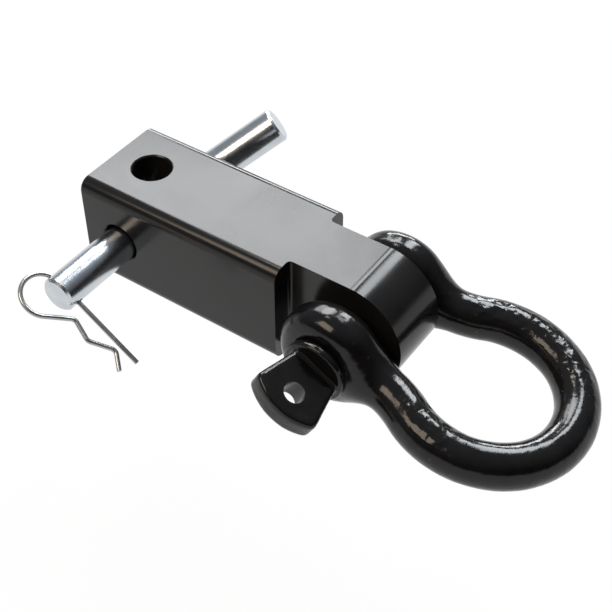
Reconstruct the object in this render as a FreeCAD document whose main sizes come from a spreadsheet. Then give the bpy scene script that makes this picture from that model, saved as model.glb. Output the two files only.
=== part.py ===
import FreeCAD, Part
import math
import os
import Sketcher

# Towing set for a square receiver tube: a solid shank, its bent hitch pin and spring clip,
# and a bow shackle held by a screw pin.
# The origin is where the hitch pin's axis crosses the shank's centre line. +X runs along
# the shank towards the shackle, +Y is the side of the pin's bent leg, +Z is up.

# Driving dimensions, millimetres and degrees
SIZES = [
    ("shank_width", 50.0),
    ("shank_height", 50.0),
    ("shank_corner_radius", 5.5),
    ("shank_back_length", 20.0),
    ("shank_end_chamfer", 0.6),
    ("step_from_hitch_hole", 83.0),
    ("step_fillet", 2.0),
    ("tongue_thickness", 29.5),
    ("tongue_end_radius", 25.0),
    ("eye_from_hitch_hole", 112.0),
    ("tongue_hole_clearance", 0.9),
    ("tongue_hole_chamfer", 0.8),
    ("hitch_pin_diameter", 15.9),
    ("hitch_hole_clearance", 0.8),
    ("hitch_hole_chamfer", 0.6),
    ("seat_gap", 0.3),
    ("rest_gap", 0.1),
    ("hitch_pin_reach", 40.2),
    ("hitch_pin_end_chamfer", 1.0),
    ("elbow_depth_in_hole", 3.0),
    ("elbow_radius", 14.0),
    ("elbow_angle", 52.0),
    ("elbow_leg_length", 39.5),
    ("elbow_leg_turn", 44.0),
    ("clip_hole_from_end", 5.2),
    ("clip_wire_diameter", 2.1),
    ("clip_hole_clearance", 1.25),
    ("clip_loop_radius", 9.6),
    ("clip_loop_rise", 4.0),
    ("clip_straight_length", 43.2),
    ("clip_crest_gap", 0.55),
    ("clip_crest_along", 12.2),
    ("clip_valley_along", 22.5),
    ("clip_valley_depth", 9.6),
    ("clip_neck_along", 33.2),
    ("clip_neck_depth", 3.1),
    ("clip_tip_along", 40.6),
    ("clip_tip_depth", 8.8),
    ("clip_bend_radius", 3.0),
    ("bow_rod_diameter", 18.9),
    ("bow_inside_width", 54.4),
    ("bow_inside_length", 85.5),
    ("bow_jaw_width", 32.2),
    ("bow_leg_length", 16.0),
    ("eye_thickness", 19.1),
    ("eye_diameter", 45.0),
    ("eye_edge_radius", 6.0),
    ("eye_blend_radius", 8.0),
    ("shackle_pin_diameter", 22.2),
    ("eye_hole_clearance", 0.6),
    ("thread_diameter", 21.6),
    ("thread_clearance", 0.1),
    ("thread_end_chamfer", 1.6),
    ("thread_proud_length", 1.5),
    ("thread_runout", 1.0),
    ("bore_rim_chamfer", 0.8),
    ("collar_diameter", 28.5),
    ("collar_thickness", 4.5),
    ("collar_edge_radius", 1.5),
    ("head_thickness", 10.5),
    ("head_root_width", 21.0),
    ("head_end_width", 31.0),
    ("head_end_radius", 24.5),
    ("head_corner_radius", 3.0),
    ("head_length", 25.5),
    ("head_edge_radius", 1.5),
    ("head_hole_diameter", 9.0),
    ("head_hole_from_collar", 15.0),
    ("head_turn", 29.0),
]


# How near two distances must be to count as equal, and the degrees in a right angle
TOUCHING = 1e-6
RIGHT_ANGLE = 90.0


class Size:
    """A size with its number and the sheet expression that gives it."""

    def __init__(self, value, text):
        self.value = value
        self.text = text

    @staticmethod
    def of(other):
        return other if isinstance(other, Size) else Size(float(other), repr(float(other)))

    def join(self, other, sign, value):
        return Size(value, f"({self.text} {sign} {Size.of(other).text})")

    def __add__(self, other):
        return self.join(other, "+", self.value + Size.of(other).value)

    def __sub__(self, other):
        return self.join(other, "-", self.value - Size.of(other).value)

    def __mul__(self, other):
        return self.join(other, "*", self.value * Size.of(other).value)

    def __truediv__(self, other):
        return self.join(other, "/", self.value / Size.of(other).value)

    def __neg__(self):
        return Size(-self.value, f"(0 - {self.text})")

    def arcsine(self):
        """The angle, as a plain number of degrees."""
        return Size(math.degrees(math.asin(self.value)), f"(asin({self.text}) / 1 deg)")


doc = FreeCAD.newDocument("hitch_receiver_shackle")
sheet = doc.addObject("Spreadsheet::Sheet", "Sizes")
for row, (name, value) in enumerate(SIZES, 1):
    sheet.set(f"A{row}", name)
    sheet.set(f"B{row}", str(value))
    sheet.setAlias(f"B{row}", name)
doc.recompute()
size = {name: Size(value, f"Sizes.{name}") for name, value in SIZES}

# Sizes worked out from the driving ones
half_width = size["shank_width"] / 2
half_height = size["shank_height"] / 2
half_tongue = size["tongue_thickness"] / 2
hitch_pin_radius = size["hitch_pin_diameter"] / 2
hitch_hole_radius = hitch_pin_radius + size["hitch_hole_clearance"]
shackle_pin_radius = size["shackle_pin_diameter"] / 2
tongue_hole_radius = shackle_pin_radius + size["tongue_hole_clearance"]
wire_radius = size["clip_wire_diameter"] / 2
clip_hole_radius = wire_radius + size["clip_hole_clearance"]
hitch_pin_drop = size["hitch_hole_clearance"] - size["seat_gap"]
shackle_drop = size["tongue_hole_clearance"] - size["seat_gap"]
bow_shift = (size["bow_jaw_width"] - size["tongue_thickness"]) / 2 - size["seat_gap"]
rod_radius = size["bow_rod_diameter"] / 2
half_jaw = size["bow_jaw_width"] / 2
eye_outside = half_jaw + size["eye_thickness"]
shank_end = size["eye_from_hitch_hole"] + size["tongue_end_radius"]

# With the shank flat on a floor, the bow drops until its crown meets the floor, and the
# hitch pin turns in its hole until the clip's straight leg does
crown_reach = size["bow_inside_length"] + rod_radius
bow_sag = ((half_height - shackle_drop - rod_radius - size["rest_gap"]) / crown_reach).arcsine()
clip_reach = size["clip_straight_length"]
clip_turn = ((half_height - hitch_pin_drop - wire_radius - size["rest_gap"]) / clip_reach).arcsine()


def bind(item, place, amount):
    """Set a property or a named sketch size from the sheet."""
    item.setExpression(place, Size.of(amount).text)


def plane_of(body, role):
    return next(item for item in body.Origin.OriginFeatures if item.Role == role)


def new_sketch(body, role, name, turn=None, shift=None):
    """A sketch on one of the body's own origin planes, turned or shifted where asked."""
    sketch = body.newObject("Sketcher::SketchObject", name)
    sketch.AttachmentSupport = [(plane_of(body, role), "")]
    sketch.MapMode = "FlatFace"
    if turn is not None:
        turned = FreeCAD.Rotation(turn[0], turn[1].value)
        sketch.AttachmentOffset = FreeCAD.Placement(FreeCAD.Vector(), turned)
        bind(sketch, "AttachmentOffset.Rotation.Angle", turn[1])
    if shift is not None:
        sketch.AttachmentOffset = FreeCAD.Placement(FreeCAD.Vector(0, 0, shift.value), FreeCAD.Rotation())
        bind(sketch, "AttachmentOffset.Base.z", shift)
    return sketch


def constrain(sketch, label, kind, *where, amount):
    """A size in a sketch, named and driven by the sheet."""
    index = sketch.addConstraint(Sketcher.Constraint(kind, *where, Size.of(amount).value))
    sketch.renameConstraint(index, label)
    bind(sketch, f"Constraints.{label}", amount)


def place_point(sketch, label, geometry, end, across, up):
    """Hold one end of a sketch line at its distances from the sketch origin."""
    for axis, kind, amount in (("x", "DistanceX", across), ("y", "DistanceY", up)):
        amount = Size.of(amount)
        if amount.value < 0:
            where, amount = (geometry, end, -1, 1), -amount
        else:
            where = (-1, 1, geometry, end)
        if amount.value == 0:
            on = -2 if axis == "x" else -1
            sketch.addConstraint(Sketcher.Constraint("PointOnObject", geometry, end, on))
        else:
            constrain(sketch, f"{label}_{axis}", kind, *where, amount=amount)


def turned_corner(before, corner, after, radius):
    """The arc that rounds a corner: where it starts and stops, and its centre."""
    back = (before - corner).normalize()
    ahead = (after - corner).normalize()
    half_angle = back.getAngle(ahead) / 2
    along = radius / math.tan(half_angle)
    middle = (back + ahead).normalize() * (radius / math.sin(half_angle))
    return corner + back * along, corner + ahead * along, corner + middle


def arc_through(centre, start, stop):
    """The shorter arc between two points about a centre, and whether it runs backwards."""
    ray_start = start - centre
    ray_stop = stop - centre
    begin = math.atan2(ray_start.y, ray_start.x)
    end = math.atan2(ray_stop.y, ray_stop.x)
    backwards = ray_start.cross(ray_stop).z < 0
    if backwards:
        begin, end = end, begin
    whole = Part.Circle(centre, FreeCAD.Vector(0, 0, 1), ray_start.Length)
    return Part.ArcOfCircle(whole, begin, end), backwards


def outline(sketch, label, points):
    """A closed outline of straight lines. A point with a third size is a round corner."""
    corners = [FreeCAD.Vector(Size.of(point[0]).value, Size.of(point[1]).value, 0) for point in points]
    count = len(points)
    bends = []
    for index, point in enumerate(points):
        if len(point) == 3:
            around = corners[index - 1], corners[index], corners[(index + 1) % count]
            bends.append(turned_corner(*around, Size.of(point[2]).value))
        else:
            bends.append(None)
    lines = []
    for index in range(count):
        following = (index + 1) % count
        start = bends[index][1] if bends[index] else corners[index]
        stop = bends[following][0] if bends[following] else corners[following]
        lines.append(sketch.addGeometry(Part.LineSegment(start, stop), False))
    for index, point in enumerate(points):
        before, after = lines[index - 1], lines[index]
        name = f"{label}{index}"
        if bends[index]:
            start, stop, centre = bends[index]
            shape, backwards = arc_through(centre, start, stop)
            arc = sketch.addGeometry(shape, False)
            first_end, last_end = (2, 1) if backwards else (1, 2)
            sketch.addConstraint(Sketcher.Constraint("Tangent", before, 2, arc, first_end))
            sketch.addConstraint(Sketcher.Constraint("Tangent", arc, last_end, after, 1))
            constrain(sketch, f"{name}_radius", "Radius", arc, amount=point[2])
            mark = sketch.addGeometry(Part.Point(corners[index]), True)
            place_point(sketch, name, mark, 1, point[0], point[1])
            sketch.addConstraint(Sketcher.Constraint("PointOnObject", mark, 1, before))
            sketch.addConstraint(Sketcher.Constraint("PointOnObject", mark, 1, after))
        else:
            sketch.addConstraint(Sketcher.Constraint("Coincident", before, 2, after, 1))
            place_point(sketch, name, after, 1, point[0], point[1])


def circle(sketch, label, across, up, radius):
    """A circle whose centre and radius come from the sheet."""
    centre = FreeCAD.Vector(Size.of(across).value, Size.of(up).value, 0)
    shape = Part.Circle(centre, FreeCAD.Vector(0, 0, 1), radius.value)
    index = sketch.addGeometry(shape, False)
    place_point(sketch, f"{label}_centre", index, 3, across, up)
    constrain(sketch, f"{label}_radius", "Radius", index, amount=radius)


def rounded_rectangle(sketch, half_across, half_up, radius):
    """A rectangle about the sketch origin with four equal round corners."""
    across, up, corner = half_across.value, half_up.value, radius.value
    lines = [
        ((-across + corner, -up), (across - corner, -up)),
        ((across, -up + corner), (across, up - corner)),
        ((across - corner, up), (-across + corner, up)),
        ((-across, up - corner), (-across, -up + corner)),
    ]
    quarter = math.pi / 2
    centres = [(1, -1, -quarter), (1, 1, 0), (-1, 1, quarter), (-1, -1, math.pi)]
    for start, stop in lines:
        sketch.addGeometry(Part.LineSegment(FreeCAD.Vector(*start, 0), FreeCAD.Vector(*stop, 0)), False)
    for side, level, begin in centres:
        centre = FreeCAD.Vector(side * (across - corner), level * (up - corner), 0)
        round_corner = Part.Circle(centre, FreeCAD.Vector(0, 0, 1), corner)
        sketch.addGeometry(Part.ArcOfCircle(round_corner, begin, begin + quarter), False)
    for index in range(4):
        arc = 4 + index
        sketch.addConstraint(Sketcher.Constraint("Tangent", index, 2, arc, 1))
        sketch.addConstraint(Sketcher.Constraint("Tangent", arc, 2, (index + 1) % 4, 1))
    sketch.addConstraint(Sketcher.Constraint("Horizontal", 0))
    sketch.addConstraint(Sketcher.Constraint("Vertical", 1))
    sketch.addConstraint(Sketcher.Constraint("Horizontal", 2))
    sketch.addConstraint(Sketcher.Constraint("Vertical", 3))
    sketch.addConstraint(Sketcher.Constraint("Equal", 4, 5))
    sketch.addConstraint(Sketcher.Constraint("Equal", 5, 6))
    sketch.addConstraint(Sketcher.Constraint("Equal", 6, 7))
    constrain(sketch, "right", "DistanceX", -1, 1, 1, 1, amount=half_across)
    constrain(sketch, "left", "DistanceX", 3, 1, -1, 1, amount=half_across)
    constrain(sketch, "top", "DistanceY", -1, 1, 2, 1, amount=half_up)
    constrain(sketch, "bottom", "DistanceY", 0, 1, -1, 1, amount=half_up)
    constrain(sketch, "corner", "Radius", 4, amount=radius)


def feature(body, kind, name, profile, **settings):
    """A sketch-based feature of the body, with its plain settings."""
    item = body.newObject(f"PartDesign::{kind}", name)
    item.Profile = profile
    for key, value in settings.items():
        setattr(item, key, value)
    return item


def cut_through(body, name, profile):
    """Cut a profile out of the whole body, both ways from its sketch."""
    return feature(body, "Pocket", name, profile, Type=1, Midplane=True)


def edges_where(shape, test):
    """Names of the edges that pass a test, as features ask for them."""
    return [f"Edge{index}" for index, edge in enumerate(shape.Edges, 1) if test(edge)]


def dress(body, kind, name, base, picked, amount):
    """A fillet or chamfer on edges of the feature before it."""
    item = body.newObject(f"PartDesign::{kind}", name)
    item.Base = (base, picked)
    bind(item, "Radius" if kind == "Fillet" else "Size", amount)
    return item


def is_circle(edge, radius):
    return isinstance(edge.Curve, Part.Circle) and abs(edge.Curve.Radius - radius.value) < TOUCHING


def new_body(name):
    body = doc.addObject("PartDesign::Body", name)
    body.Label = name
    return body


# The shank: a solid square bar with rolled corners, milled down at one end to a tongue
shank = new_body("receiver_shank")
section = new_sketch(shank, "YZ_Plane", "shank_section", shift=-size["shank_back_length"])
rounded_rectangle(section, half_width, half_height, size["shank_corner_radius"])
bar = feature(shank, "Pad", "shank_bar", section)
bind(bar, "Length", shank_end + size["shank_back_length"])

step_plan = new_sketch(shank, "XY_Plane", "tongue_plan")
beyond_width = half_width * 2
beyond_end = shank_end * 2
for side, label in ((1, "far"), (-1, "near")):
    inner = half_tongue * side
    outer = beyond_width * side
    corners = [
        (size["step_from_hitch_hole"], inner),
        (beyond_end, inner),
        (beyond_end, outer),
        (size["step_from_hitch_hole"], outer),
    ]
    outline(step_plan, label, corners)
milled = cut_through(shank, "tongue_sides", step_plan)
doc.recompute()


def at_step_corner(edge):
    middle = edge.CenterOfMass
    upright = abs(edge.BoundBox.ZLength - edge.Length) < TOUCHING
    inside = abs(abs(middle.y) - half_tongue.value) < TOUCHING
    return upright and inside and abs(middle.x - size["step_from_hitch_hole"].value) < TOUCHING


dress(shank, "Fillet", "step_fillets", milled, edges_where(milled.Shape, at_step_corner),
      size["step_fillet"])

# The tongue's end is round about the shackle pin's axis, to the full height of the bar
end_profile = new_sketch(shank, "XZ_Plane", "tongue_end")
eye_x = size["eye_from_hitch_hole"]
end_radius = size["tongue_end_radius"]
beyond_height = half_height * 2
for level, label in ((1, "upper"), (-1, "lower")):
    centre = FreeCAD.Vector(eye_x.value, 0, 0)
    begin = 0 if level == 1 else -math.pi / 2
    arc = Part.ArcOfCircle(Part.Circle(centre, FreeCAD.Vector(0, 0, 1), end_radius.value), begin,
                           begin + math.pi / 2)
    first = end_profile.GeometryCount
    end_profile.addGeometry(arc, False)
    crown = FreeCAD.Vector(eye_x.value, level * end_radius.value, 0)
    nose = FreeCAD.Vector(shank_end.value, 0, 0)
    above = FreeCAD.Vector(eye_x.value, level * beyond_height.value, 0)
    corner = FreeCAD.Vector(beyond_end.value, level * beyond_height.value, 0)
    ahead = FreeCAD.Vector(beyond_end.value, 0, 0)
    for start, stop in ((crown, above), (above, corner), (corner, ahead), (ahead, nose)):
        end_profile.addGeometry(Part.LineSegment(start, stop), False)
    at_crown, at_nose = (2, 1) if level == 1 else (1, 2)
    end_profile.addConstraint(Sketcher.Constraint("Coincident", first, at_crown, first + 1, 1))
    for index in (1, 2, 3):
        joined = (first + index, 2, first + index + 1, 1)
        end_profile.addConstraint(Sketcher.Constraint("Coincident", *joined))
    end_profile.addConstraint(Sketcher.Constraint("Coincident", first + 4, 2, first, at_nose))
    end_profile.addConstraint(Sketcher.Constraint("Vertical", first + 1))
    end_profile.addConstraint(Sketcher.Constraint("Horizontal", first + 2))
    end_profile.addConstraint(Sketcher.Constraint("Vertical", first + 3))
    end_profile.addConstraint(Sketcher.Constraint("PointOnObject", first + 4, 1, -1))
    end_profile.addConstraint(Sketcher.Constraint("PointOnObject", first, at_nose, -1))
    end_profile.addConstraint(Sketcher.Constraint("PointOnObject", first, 3, -1))
    constrain(end_profile, f"{label}_centre", "DistanceX", -1, 1, first, 3, amount=eye_x)
    constrain(end_profile, f"{label}_radius", "Radius", first, amount=end_radius)
    reach = (-1, 1, first + 2, 2) if level == 1 else (first + 2, 2, -1, 1)
    constrain(end_profile, f"{label}_reach", "DistanceY", *reach, amount=beyond_height)
    constrain(end_profile, f"{label}_ahead", "DistanceX", -1, 1, first + 2, 2, amount=beyond_end)
    end_profile.addConstraint(Sketcher.Constraint("Vertical", first, at_crown, first, 3))
cut_through(shank, "tongue_round_end", end_profile)

# Two pin holes cross at the back, so the shank can be pinned upright or on its side
hole_across = new_sketch(shank, "XZ_Plane", "hitch_hole_across")
circle(hole_across, "hitch", 0, 0, hitch_hole_radius)
circle(hole_across, "tongue", eye_x, 0, tongue_hole_radius)
cut_through(shank, "holes_across", hole_across)
hole_upright = new_sketch(shank, "XY_Plane", "hitch_hole_upright")
circle(hole_upright, "hitch", 0, 0, hitch_hole_radius)
bored_upright = cut_through(shank, "hole_upright", hole_upright)
doc.recompute()


def at_hitch_hole_rim(edge):
    middle = edge.CenterOfMass
    beside = abs(abs(middle.y) - half_width.value) < TOUCHING
    above_or_below = abs(abs(middle.z) - half_height.value) < TOUCHING
    return is_circle(edge, hitch_hole_radius) and (beside or above_or_below)


def at_tongue_hole_rim(edge):
    return is_circle(edge, tongue_hole_radius)


def at_back_end(edge):
    back = -size["shank_back_length"].value
    return abs(edge.BoundBox.XMin - back) < TOUCHING and abs(edge.BoundBox.XMax - back) < TOUCHING


hitch_rims = dress(shank, "Chamfer", "hitch_hole_rims", bored_upright,
                   edges_where(bored_upright.Shape, at_hitch_hole_rim), size["hitch_hole_chamfer"])
doc.recompute()
tongue_rims = dress(shank, "Chamfer", "tongue_hole_rims", hitch_rims,
                    edges_where(hitch_rims.Shape, at_tongue_hole_rim), size["tongue_hole_chamfer"])
doc.recompute()
dress(shank, "Chamfer", "back_end_edges", tongue_rims, edges_where(tongue_rims.Shape, at_back_end),
      size["shank_end_chamfer"])
doc.recompute()

# The hitch pin: one round bar, bent where it leaves the far side of the shank.
# It is drawn straight along Y with its leg towards +X, then turned about Y to its place.
hitch_pin = new_body("hitch_pin")
clip_hole_y = -size["hitch_pin_reach"] - half_width + size["clip_hole_from_end"]
near_end = -(half_width + size["hitch_pin_reach"])
elbow_start = half_width - size["elbow_depth_in_hole"]
pin_route = new_sketch(hitch_pin, "XY_Plane", "pin_route")
bend = math.radians(size["elbow_angle"].value)
elbow_centre = FreeCAD.Vector(size["elbow_radius"].value, elbow_start.value, 0)
elbow_end = elbow_centre + FreeCAD.Vector(-math.cos(bend), math.sin(bend), 0) * size["elbow_radius"].value
leg_end = elbow_end + FreeCAD.Vector(math.sin(bend), math.cos(bend), 0) * size["elbow_leg_length"].value
pin_route.addGeometry(Part.LineSegment(FreeCAD.Vector(0, near_end.value, 0),
                                       FreeCAD.Vector(0, elbow_start.value, 0)), False)
elbow = Part.Circle(elbow_centre, FreeCAD.Vector(0, 0, 1), size["elbow_radius"].value)
pin_route.addGeometry(Part.ArcOfCircle(elbow, math.pi - bend, math.pi), False)
pin_route.addGeometry(Part.LineSegment(elbow_end, leg_end), False)
pin_route.addConstraint(Sketcher.Constraint("PointOnObject", 0, 1, -2))
pin_route.addConstraint(Sketcher.Constraint("Vertical", 0))
pin_route.addConstraint(Sketcher.Constraint("Tangent", 0, 2, 1, 2))
pin_route.addConstraint(Sketcher.Constraint("Tangent", 1, 1, 2, 1))
constrain(pin_route, "near_end", "DistanceY", 0, 1, -1, 1, amount=-near_end)
constrain(pin_route, "elbow_start", "DistanceY", -1, 1, 0, 2, amount=elbow_start)
constrain(pin_route, "elbow_radius", "Radius", 1, amount=size["elbow_radius"])
constrain(pin_route, "leg_length", "Distance", 2, amount=size["elbow_leg_length"])
constrain(pin_route, "leg_rise", "Angle", -1, 1, 2, 1, amount=Size.of(RIGHT_ANGLE) - size["elbow_angle"])
pin_section = new_sketch(hitch_pin, "XZ_Plane", "pin_section", shift=-near_end)
circle(pin_section, "pin", 0, 0, hitch_pin_radius)
doc.recompute()
pin_bar = feature(hitch_pin, "AdditivePipe", "bent_bar", pin_section)
pin_bar.Spine = (pin_route, ["Edge1", "Edge2", "Edge3"])
doc.recompute()
dress(hitch_pin, "Chamfer", "pin_ends", pin_bar,
      edges_where(pin_bar.Shape, lambda edge: is_circle(edge, hitch_pin_radius)
                  and (edge.CenterOfMass.y < near_end.value + TOUCHING
                       or edge.CenterOfMass.y > leg_end.y - TOUCHING)),
      size["hitch_pin_end_chamfer"])
clip_bore = new_sketch(hitch_pin, "YZ_Plane", "clip_bore",
                       turn=(FreeCAD.Vector(1, 0, 0), clip_turn + size["elbow_leg_turn"]))
circle(clip_bore, "clip", clip_hole_y, 0, clip_hole_radius)
cut_through(hitch_pin, "clip_hole", clip_bore)
doc.recompute()

leg_turn = FreeCAD.Rotation(FreeCAD.Vector(0, 1, 0), -size["elbow_leg_turn"].value)
hitch_pin.Placement = FreeCAD.Placement(FreeCAD.Vector(0, 0, -hitch_pin_drop.value), leg_turn)
bind(hitch_pin, "Placement.Base.z", -hitch_pin_drop)
bind(hitch_pin, "Placement.Rotation.Angle", -size["elbow_leg_turn"])

# The clip: spring wire in one plane, with a straight leg through the pin and a waved leg
# that springs over the pin's end. It is drawn with +X the way the straight leg points.
clip = new_body("r_clip")
leg_y = clip_hole_y
loop_radius = size["clip_loop_radius"]
loop_x = -size["clip_loop_rise"]
loop_y = leg_y - loop_radius
crest_y = near_end - wire_radius - size["clip_crest_gap"]

clip_route = new_sketch(clip, "XY_Plane", "clip_route")
corner_sizes = [
    ("crest", size["clip_crest_along"], crest_y),
    ("valley", size["clip_valley_along"], leg_y - size["clip_valley_depth"]),
    ("neck", size["clip_neck_along"], leg_y - size["clip_neck_depth"]),
    ("tip", size["clip_tip_along"], leg_y - size["clip_tip_depth"]),
]
corner_points = [FreeCAD.Vector(x.value, y.value, 0) for _, x, y in corner_sizes]
loop_centre = FreeCAD.Vector(loop_x.value, loop_y.value, 0)
to_crest = corner_points[0] - loop_centre
leaving = math.atan2(to_crest.y, to_crest.x) + math.asin(loop_radius.value / to_crest.Length)
loop_end = loop_centre + FreeCAD.Vector(math.sin(leaving), -math.cos(leaving), 0) * loop_radius.value
loop_start = FreeCAD.Vector(loop_x.value, leg_y.value, 0)
straight_tip = FreeCAD.Vector(size["clip_straight_length"].value, leg_y.value, 0)
clip_route.addGeometry(Part.LineSegment(straight_tip, loop_start), False)
loop_circle = Part.Circle(loop_centre, FreeCAD.Vector(0, 0, 1), loop_radius.value)
loop_arc = Part.ArcOfCircle(loop_circle, math.pi / 2, leaving + math.pi * 1.5)
curve_before = clip_route.addGeometry(loop_arc, False)
clip_route.addConstraint(Sketcher.Constraint("Horizontal", 0))
clip_route.addConstraint(Sketcher.Constraint("Tangent", 0, 2, 1, 1))
constrain(clip_route, "leg_offset", "DistanceY", 0, 1, -1, 1, amount=-leg_y)
constrain(clip_route, "straight_tip", "DistanceX", -1, 1, 0, 1, amount=size["clip_straight_length"])
constrain(clip_route, "loop_rise", "DistanceX", 1, 3, -1, 1, amount=-loop_x)
constrain(clip_route, "loop_radius", "Radius", 1, amount=loop_radius)
run_start = loop_end
curve_end = 2
for index in range(3):
    before = corner_points[index - 1] if index else loop_end
    corner = corner_points[index]
    after = corner_points[index + 1]
    start, stop, centre = turned_corner(before, corner, after, size["clip_bend_radius"].value)
    line = clip_route.addGeometry(Part.LineSegment(run_start, start), False)
    clip_route.addConstraint(Sketcher.Constraint("Tangent", curve_before, curve_end, line, 1))
    arc, backwards = arc_through(centre, start, stop)
    curve_before = clip_route.addGeometry(arc, False)
    first_end, curve_end = (2, 1) if backwards else (1, 2)
    clip_route.addConstraint(Sketcher.Constraint("Tangent", line, 2, curve_before, first_end))
    constrain(clip_route, f"bend{index}", "Radius", curve_before, amount=size["clip_bend_radius"])
    run_start = stop
last_run = clip_route.addGeometry(Part.LineSegment(run_start, corner_points[3]), False)
clip_route.addConstraint(Sketcher.Constraint("Tangent", curve_before, curve_end, last_run, 1))
place_point(clip_route, "tip", last_run, 2, corner_sizes[3][1], corner_sizes[3][2])
runs = [2, 4, 6, 8]
for index in range(3):
    label, across, up = corner_sizes[index]
    mark = clip_route.addGeometry(Part.Point(corner_points[index]), True)
    place_point(clip_route, label, mark, 1, across, up)
    clip_route.addConstraint(Sketcher.Constraint("PointOnObject", mark, 1, runs[index]))
    clip_route.addConstraint(Sketcher.Constraint("PointOnObject", mark, 1, runs[index + 1]))
clip_section = new_sketch(clip, "YZ_Plane", "clip_section", shift=size["clip_straight_length"])
circle(clip_section, "wire", leg_y, 0, wire_radius)
doc.recompute()
wire = feature(clip, "AdditivePipe", "bent_wire", clip_section)
wire.Spine = (clip_route, [f"Edge{index}" for index in range(1, 10)])
doc.recompute()
clip.Placement = FreeCAD.Placement(FreeCAD.Vector(0, 0, -hitch_pin_drop.value),
                                   FreeCAD.Rotation(FreeCAD.Vector(0, 1, 0), clip_turn.value))
bind(clip, "Placement.Base.z", -hitch_pin_drop)
bind(clip, "Placement.Rotation.Angle", clip_turn)

# The bow: a forged round bar bent to a pear shape, with an eye on each end. It is drawn
# about the shackle pin's axis, with +X towards the crown, then let down by its sag angle.
bow = new_body("shackle_bow")
eye_middle = half_jaw + size["eye_thickness"] / 2
crown_radius = size["bow_inside_width"] / 2 + rod_radius
crown_centre_x = size["bow_inside_length"] + rod_radius - crown_radius
bow_route = new_sketch(bow, "XY_Plane", "bow_route")
ahead = crown_centre_x.value - size["bow_leg_length"].value
flare = ahead * ahead + eye_middle.value ** 2 - crown_radius.value ** 2
flare_radius = flare / (2 * (crown_radius.value - eye_middle.value))
crown_centre = FreeCAD.Vector(crown_centre_x.value, 0, 0)
for side in (-1, 1):
    leg_foot = FreeCAD.Vector(0, side * eye_middle.value, 0)
    leg_top = FreeCAD.Vector(size["bow_leg_length"].value, side * eye_middle.value, 0)
    flare_centre = leg_top + FreeCAD.Vector(0, side * flare_radius, 0)
    meeting = crown_centre + (flare_centre - crown_centre).normalize() * crown_radius.value
    leg = bow_route.addGeometry(Part.LineSegment(leg_foot, leg_top), False)
    arc, backwards = arc_through(flare_centre, leg_top, meeting)
    flared = bow_route.addGeometry(arc, False)
    near_leg, near_crown = (2, 1) if backwards else (1, 2)
    bow_route.addConstraint(Sketcher.Constraint("Horizontal", leg))
    bow_route.addConstraint(Sketcher.Constraint("Tangent", leg, 2, flared, near_leg))
    foot = (leg, 1, -1, 1) if side < 0 else (-1, 1, leg, 1)
    side_name = "near" if side < 0 else "far"
    bow_route.addConstraint(Sketcher.Constraint("PointOnObject", leg, 1, -2))
    constrain(bow_route, f"{side_name}_foot", "DistanceY", *foot, amount=eye_middle)
    constrain(bow_route, f"{side_name}_leg", "Distance", leg, amount=size["bow_leg_length"])
    if side < 0:
        near_meeting, near_join = meeting, (flared, near_crown)
    else:
        crown_start = math.atan2(near_meeting.y, near_meeting.x - crown_centre.x)
        crown_end = math.atan2(meeting.y, meeting.x - crown_centre.x)
        crown_circle = Part.Circle(crown_centre, FreeCAD.Vector(0, 0, 1), crown_radius.value)
        crown = bow_route.addGeometry(Part.ArcOfCircle(crown_circle, crown_start, crown_end), False)
        bow_route.addConstraint(Sketcher.Constraint("Tangent", *near_join, crown, 1))
        bow_route.addConstraint(Sketcher.Constraint("Tangent", crown, 2, flared, near_crown))
        bow_route.addConstraint(Sketcher.Constraint("PointOnObject", crown, 3, -1))
        constrain(bow_route, "crown_centre", "DistanceX", -1, 1, crown, 3, amount=crown_centre_x)
        constrain(bow_route, "crown_radius", "Radius", crown, amount=crown_radius)
bow_section = new_sketch(bow, "YZ_Plane", "bow_section")
circle(bow_section, "rod", -eye_middle, 0, rod_radius)
doc.recompute()
bow_bar = feature(bow, "AdditivePipe", "bow_bar", bow_section)
bow_bar.Spine = (bow_route, [f"Edge{index}" for index in (1, 2, 5, 4, 3)])
doc.recompute()

# Each eye is a thick disc about the pin's axis, flush with the bar and with rounded rims
eye_radius = size["eye_diameter"] / 2
rim = size["eye_edge_radius"]
for side, label in ((-1, "near"), (1, "far")):
    eye_profile = new_sketch(bow, "XY_Plane", f"{label}_eye_profile")
    inner, outer = half_jaw * side, eye_outside * side
    corners = [(0, inner), (eye_radius, inner, rim), (eye_radius, outer, rim), (0, outer)]
    outline(eye_profile, "corner", corners)
    eyes = feature(bow, "Revolution", f"{label}_eye", eye_profile, Angle=360,
                   ReferenceAxis=(eye_profile, ["V_Axis"]))
doc.recompute()


def at_eye_root(edge):
    """The seam where a leg runs into its eye, which is neither a circle nor a line."""
    return isinstance(edge.Curve, Part.BSplineCurve) and edge.CenterOfMass.x > size["eye_diameter"].value / 4


dress(bow, "Fillet", "eye_blends", eyes, edges_where(eyes.Shape, at_eye_root), size["eye_blend_radius"])
doc.recompute()

# The near eye clears the pin, and the far eye is tapped for the pin's thread
near_bore_radius = shackle_pin_radius + size["eye_hole_clearance"]
tapped_radius = size["thread_diameter"] / 2 + size["thread_clearance"]
bores = (("near", -1, near_bore_radius), ("far", 1, tapped_radius))
for label, side, radius in bores:
    bore_plan = new_sketch(bow, "XZ_Plane", f"{label}_bore_plan")
    circle(bore_plan, "bore", 0, 0, radius)
    bored_bow = feature(bow, "Pocket", f"{label}_bore", bore_plan, Type=1, Reversed=side < 0)
    doc.recompute()


def at_bore_rim(edge):
    return is_circle(edge, near_bore_radius) or is_circle(edge, tapped_radius)


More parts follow.
